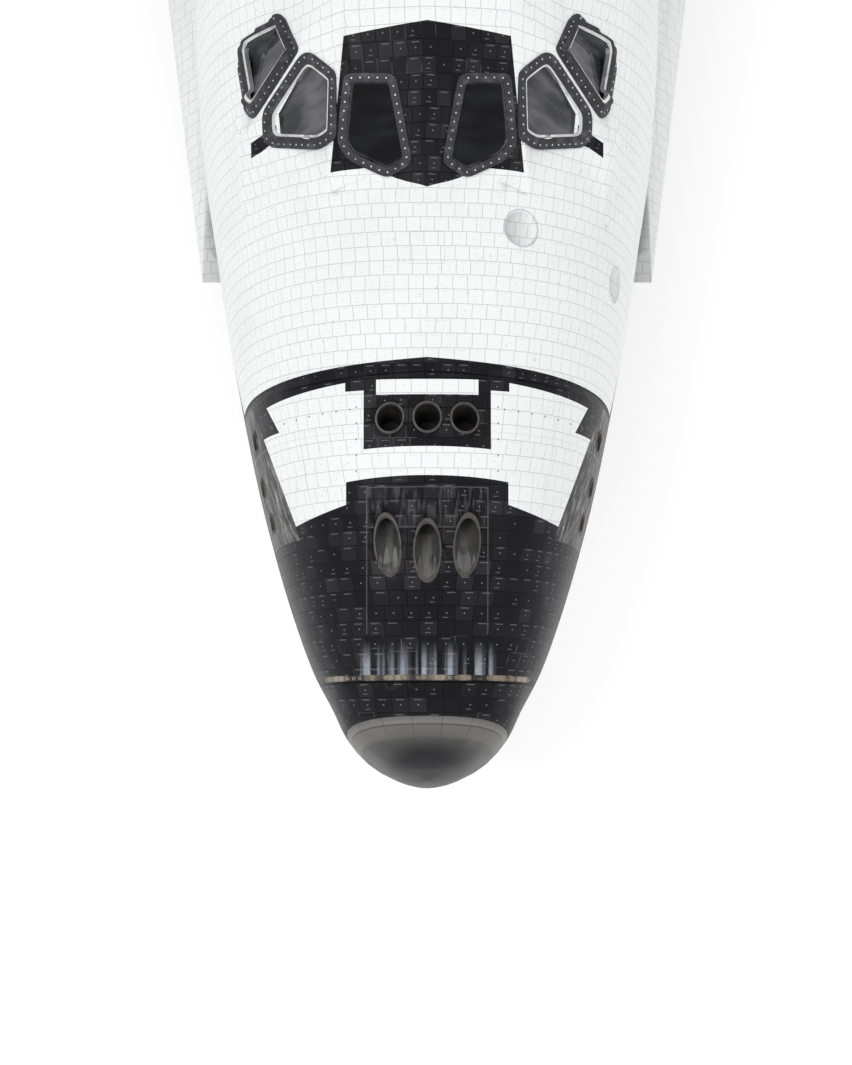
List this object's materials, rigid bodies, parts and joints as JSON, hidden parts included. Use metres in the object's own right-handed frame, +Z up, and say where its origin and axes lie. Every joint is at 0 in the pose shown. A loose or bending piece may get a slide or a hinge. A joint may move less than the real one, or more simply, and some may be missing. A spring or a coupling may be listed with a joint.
{
  "type": "winged reusable spacecraft",
  "caption": "Delta-winged reusable spacecraft parked on its landing gear, with opening bay doors, side hatch, control surfaces and swivelling engines.",
  "frame": {"origin": "middle of the craft's box, on the ground under the wheels", "axes": "nose towards -Y, port side towards +X, +Z up; the craft's own axes are tilted 3.4 degrees nose down"},
  "size_m": [23.8, 36.4533, 17.2492],
  "materials": {
    "white_tile": "matte",
    "black_tile": "satin",
    "carbon_shell": "satin",
    "felt_blanket": "matte",
    "window_glass": "polished",
    "bell_metal": "satin",
    "gear_paint": "satin",
    "tyre_rubber": "matte",
    "wheel_metal": "satin",
    "cabin_panel": "matte",
    "seat_fabric": "matte"
  },
  "bodies": {
    "airframe": {"nose_cap": "carbon_shell", "forward_thruster_module": "white_tile", "forward_fuselage": "white_tile", "window_forward_left": "window_glass", "window_forward_right": "window_glass", "window_middle_left": "window_glass", "window_middle_right": "window_glass", "window_side_left": "window_glass", "window_side_right": "window_glass", "window_overhead_left": "window_glass", "window_overhead_right": "window_glass", "flight_deck_floor": "cabin_panel", "instrument_console": "cabin_panel", "seat_left": "seat_fabric", "seat_right": "seat_fabric", "mid_fuselage": "white_tile", "aft_fuselage": "white_tile", "base_heat_shield": "black_tile", "manoeuvring_pod_left": "felt_blanket", "manoeuvring_pod_right": "felt_blanket", "manoeuvring_bell_left": "bell_metal", "manoeuvring_bell_right": "bell_metal", "wing_left": "white_tile", "wing_right": "white_tile", "vertical_tail": "felt_blanket", "nose_gear_leg": "gear_paint", "nose_gear_door_left": "black_tile", "nose_gear_door_right": "black_tile", "main_gear_leg_left": "gear_paint", "main_gear_leg_right": "gear_paint", "main_gear_door_left": "black_tile", "main_gear_door_right": "black_tile"},
    "hatch": {"crew_hatch": "white_tile"},
    "bay_door_left": {"payload_bay_door_left": "felt_blanket"},
    "bay_door_right": {"payload_bay_door_right": "felt_blanket"},
    "engine_upper": {"main_engine_upper": "bell_metal"},
    "engine_left": {"main_engine_left": "bell_metal"},
    "engine_right": {"main_engine_right": "bell_metal"},
    "elevon_inboard_left": {"elevon_inboard_left": "white_tile"},
    "elevon_inboard_right": {"elevon_inboard_right": "white_tile"},
    "elevon_outboard_left": {"elevon_outboard_left": "white_tile"},
    "elevon_outboard_right": {"elevon_outboard_right": "white_tile"},
    "body_flap": {"body_flap": "black_tile"},
    "rudder_drive": {"rudder_hinge_tube": "wheel_metal"},
    "rudder_left": {"rudder_panel_left": "felt_blanket"},
    "rudder_right": {"rudder_panel_right": "felt_blanket"},
    "nose_steering": {"nose_gear_fork": "gear_paint"},
    "nose_wheels": {"nose_tyre_left": "tyre_rubber", "nose_tyre_right": "tyre_rubber", "nose_wheel_left": "wheel_metal", "nose_wheel_right": "wheel_metal"},
    "main_wheels_left": {"main_left_tyre_inner": "tyre_rubber", "main_left_tyre_outer": "tyre_rubber", "main_left_wheel_inner": "wheel_metal", "main_left_wheel_outer": "wheel_metal"},
    "main_wheels_right": {"main_right_tyre_inner": "tyre_rubber", "main_right_tyre_outer": "tyre_rubber", "main_right_wheel_inner": "wheel_metal", "main_right_wheel_outer": "wheel_metal"}
  },
  "joints": [
    {"name": "side_hatch", "type": "hinge", "parent": "airframe", "child": "hatch", "pos_m": [2.585, -11.12582, 3.09846], "axis": [0, 0.9982, 0.0593], "range_deg": [0, 90]},
    {"name": "bay_door_left", "type": "hinge", "parent": "airframe", "child": "bay_door_left", "pos_m": [2.45009, -0.38314, 5.98565], "axis": [0, 0.9982, 0.0593], "range_deg": [0, 175.5]},
    {"name": "bay_door_right", "type": "hinge", "parent": "airframe", "child": "bay_door_right", "pos_m": [-2.45009, -0.38314, 5.98565], "axis": [0, -0.9982, -0.0593], "range_deg": [0, 175.5]},
    {"name": "engine_upper_pitch", "type": "hinge", "parent": "airframe", "child": "engine_upper", "pos_m": [0, 12.34675, 7.2929], "axis": [1, 0, 0], "range_deg": [-10.5, 10.5]},
    {"name": "engine_left_pitch", "type": "hinge", "parent": "airframe", "child": "engine_left", "pos_m": [1.346, 13.00994, 4.89803], "axis": [1, 0, 0], "range_deg": [-10.5, 10.5]},
    {"name": "engine_right_pitch", "type": "hinge", "parent": "airframe", "child": "engine_right", "pos_m": [-1.346, 13.00994, 4.89803], "axis": [1, 0, 0], "range_deg": [-10.5, 10.5]},
    {"name": "elevon_inboard_left", "type": "hinge", "parent": "airframe", "child": "elevon_inboard_left", "pos_m": [5.60695, 11.01946, 3.66664], "axis": [0.9986, -0.0031, 0.052], "range_deg": [-25, 40]},
    {"name": "elevon_inboard_right", "type": "hinge", "parent": "airframe", "child": "elevon_inboard_right", "pos_m": [-5.60695, 11.01946, 3.66664], "axis": [0.9986, 0.0031, -0.052], "range_deg": [-25, 40]},
    {"name": "elevon_outboard_left", "type": "hinge", "parent": "airframe", "child": "elevon_outboard_left", "pos_m": [9.87116, 11.00628, 3.88847], "axis": [0.9986, -0.0031, 0.052], "range_deg": [-25, 40]},
    {"name": "elevon_outboard_right", "type": "hinge", "parent": "airframe", "child": "elevon_outboard_right", "pos_m": [-9.87116, 11.00628, 3.88847], "axis": [0.9986, 0.0031, -0.052], "range_deg": [-25, 40]},
    {"name": "body_flap", "type": "hinge", "parent": "airframe", "child": "body_flap", "pos_m": [0, 14.74006, 3.59835], "axis": [1, 0, 0], "range_deg": [-22.55, 11.7]},
    {"name": "rudder", "type": "hinge", "parent": "airframe", "child": "rudder_drive", "pos_m": [0, 15.21999, 14.06071], "axis": [0, 0.5214, 0.8533], "range_deg": [-27.1, 27.1]},
    {"name": "speed_brake_left", "type": "hinge", "parent": "rudder_drive", "child": "rudder_left", "pos_m": [0, 15.21999, 14.06071], "axis": [0, -0.5214, -0.8533], "range_deg": [0, 49.3]},
    {"name": "speed_brake_right", "type": "hinge", "parent": "rudder_drive", "child": "rudder_right", "pos_m": [0, 15.21999, 14.06071], "axis": [0, 0.5214, 0.8533], "range_deg": [0, 49.3]},
    {"name": "nose_wheel_steering", "type": "hinge", "parent": "airframe", "child": "nose_steering", "pos_m": [0, -14.46472, 0.401], "axis": [0, -0.0593, 0.9982], "range_deg": [-10, 10]},
    {"name": "nose_wheel_spin", "type": "hinge", "parent": "nose_steering", "child": "nose_wheels", "pos_m": [0, -14.46472, 0.401], "axis": [1, 0, 0], "continuous": true},
    {"name": "main_wheel_spin_left", "type": "hinge", "parent": "airframe", "child": "main_wheels_left", "pos_m": [3.455, 5.85473, 0.55804], "axis": [1, 0, 0], "continuous": true},
    {"name": "main_wheel_spin_right", "type": "hinge", "parent": "airframe", "child": "main_wheels_right", "pos_m": [-3.455, 5.85473, 0.55804], "axis": [1, 0, 0], "continuous": true}
  ],
  "couplings": [
    {"joint": "speed_brake_right", "follows": "speed_brake_left", "ratio": 1}
  ]
}
